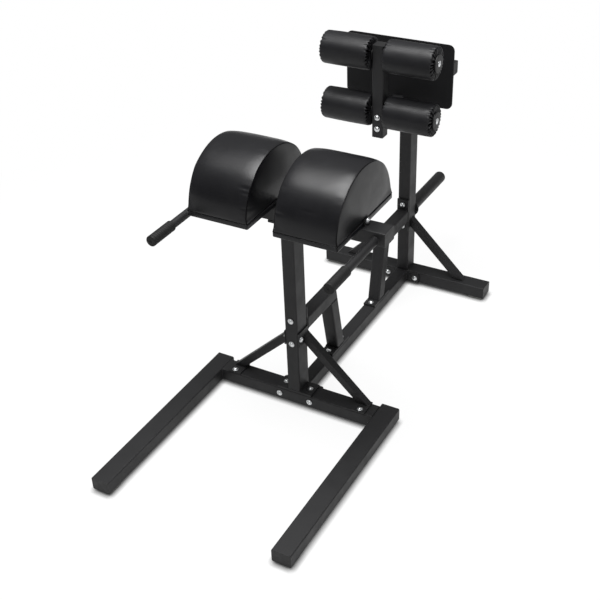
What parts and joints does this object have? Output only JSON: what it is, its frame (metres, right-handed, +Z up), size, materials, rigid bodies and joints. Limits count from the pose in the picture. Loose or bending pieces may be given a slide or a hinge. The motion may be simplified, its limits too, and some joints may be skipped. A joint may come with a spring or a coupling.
{
  "type": "glute ham developer",
  "caption": "Black steel glute ham developer with half-round thigh pads, side handles, and a sliding foot carriage with ankle rollers and foot plate.",
  "frame": {"origin": "on the floor under the middle of the whole length and width", "axes": "+Z up, +X from the open front legs towards the foot plate and the storage peg, +Y to the left of a user facing the rollers"},
  "size_m": [2.057, 0.769, 1.1585],
  "materials": {
    "frame_coat": "satin black powder coat",
    "zinc_fastener": "bright zinc plate",
    "black_plastic": "matte black",
    "pad_leatherette": "semi-gloss black leatherette",
    "roller_vinyl": "semi-gloss black leatherette over foam",
    "grip_rubber": "matte black",
    "foot_rubber": "matte grey",
    "pad_board": "black plywood"
  },
  "bodies": {
    "frame": {"front_leg_left": "frame_coat", "front_leg_right": "frame_coat", "leg_cap_left": "black_plastic", "leg_cap_right": "black_plastic", "rubber_foot_front_left": "foot_rubber", "rubber_foot_front_right": "foot_rubber", "front_crossmember": "frame_coat", "base_beam": "frame_coat", "rear_cross_foot": "frame_coat", "rear_foot_cap_left": "black_plastic", "rear_foot_cap_right": "black_plastic", "rubber_foot_rear_left": "foot_rubber", "rubber_foot_rear_right": "foot_rubber", "front_upright": "frame_coat", "rear_upright": "frame_coat", "front_stub_bolt_upper": "zinc_fastener", "front_stub_bolt_lower": "zinc_fastener", "rear_stub_bolt_upper": "zinc_fastener", "rear_stub_bolt_lower": "zinc_fastener", "front_stub_tube": "frame_coat", "front_stub_leg": "frame_coat", "rear_stub_tube": "frame_coat", "rear_stub_leg": "frame_coat", "front_brace_left": "frame_coat", "front_brace_right": "frame_coat", "rear_brace_left": "frame_coat", "rear_brace_right": "frame_coat", "pad_crossbar": "frame_coat", "crossbar_cap_left": "black_plastic", "crossbar_cap_right": "black_plastic", "handle_left": "frame_coat", "handle_right": "frame_coat", "grip_left": "grip_rubber", "grip_right": "grip_rubber", "pad_board_left": "pad_board", "pad_board_right": "pad_board", "pad_left": "pad_leatherette", "pad_right": "pad_leatherette", "storage_peg": "frame_coat", "storage_peg_cap": "black_plastic", "arm_receiver": "frame_coat"},
    "foot_carriage": {"roller_arm": "frame_coat", "roller_post": "frame_coat", "foot_plate": "frame_coat", "foot_plate_bracket": "frame_coat", "arm_cap": "black_plastic", "post_cap": "black_plastic", "post_bolt_upper": "zinc_fastener", "post_bolt_lower": "zinc_fastener", "axle_upper": "zinc_fastener", "axle_lower": "zinc_fastener"},
    "roller_unit_upper_left": {"roller_upper_left": "roller_vinyl", "roller_bush_upper_left": "black_plastic"},
    "roller_unit_upper_right": {"roller_upper_right": "roller_vinyl", "roller_bush_upper_right": "black_plastic"},
    "roller_unit_lower_left": {"roller_lower_left": "roller_vinyl", "roller_bush_lower_left": "black_plastic"},
    "roller_unit_lower_right": {"roller_lower_right": "roller_vinyl", "roller_bush_lower_right": "black_plastic"},
    "pull_pin_unit": {"pull_pin": "black_plastic"}
  },
  "joints": [
    {"name": "foot_carriage_slide", "type": "slide", "parent": "frame", "child": "foot_carriage", "axis": [-1, 0, 0], "range_m": [-0.025, 0.1]},
    {"name": "roller_upper_left_spin", "type": "hinge", "parent": "foot_carriage", "child": "roller_unit_upper_left", "pos_m": [0.3905, 0, 1.0975], "axis": [0, 1, 0], "continuous": true},
    {"name": "roller_upper_right_spin", "type": "hinge", "parent": "foot_carriage", "child": "roller_unit_upper_right", "pos_m": [0.3905, 0, 1.0975], "axis": [0, 1, 0], "continuous": true},
    {"name": "roller_lower_left_spin", "type": "hinge", "parent": "foot_carriage", "child": "roller_unit_lower_left", "pos_m": [0.3905, 0, 0.881], "axis": [0, 1, 0], "continuous": true},
    {"name": "roller_lower_right_spin", "type": "hinge", "parent": "foot_carriage", "child": "roller_unit_lower_right", "pos_m": [0.3905, 0, 0.881], "axis": [0, 1, 0], "continuous": true},
    {"name": "pull_pin_slide", "type": "slide", "parent": "frame", "child": "pull_pin_unit", "axis": [0, 0, 1], "range_m": [0, 0.012], "stiffness_N_per_m": 300, "springref_m": -0.01}
  ]
}
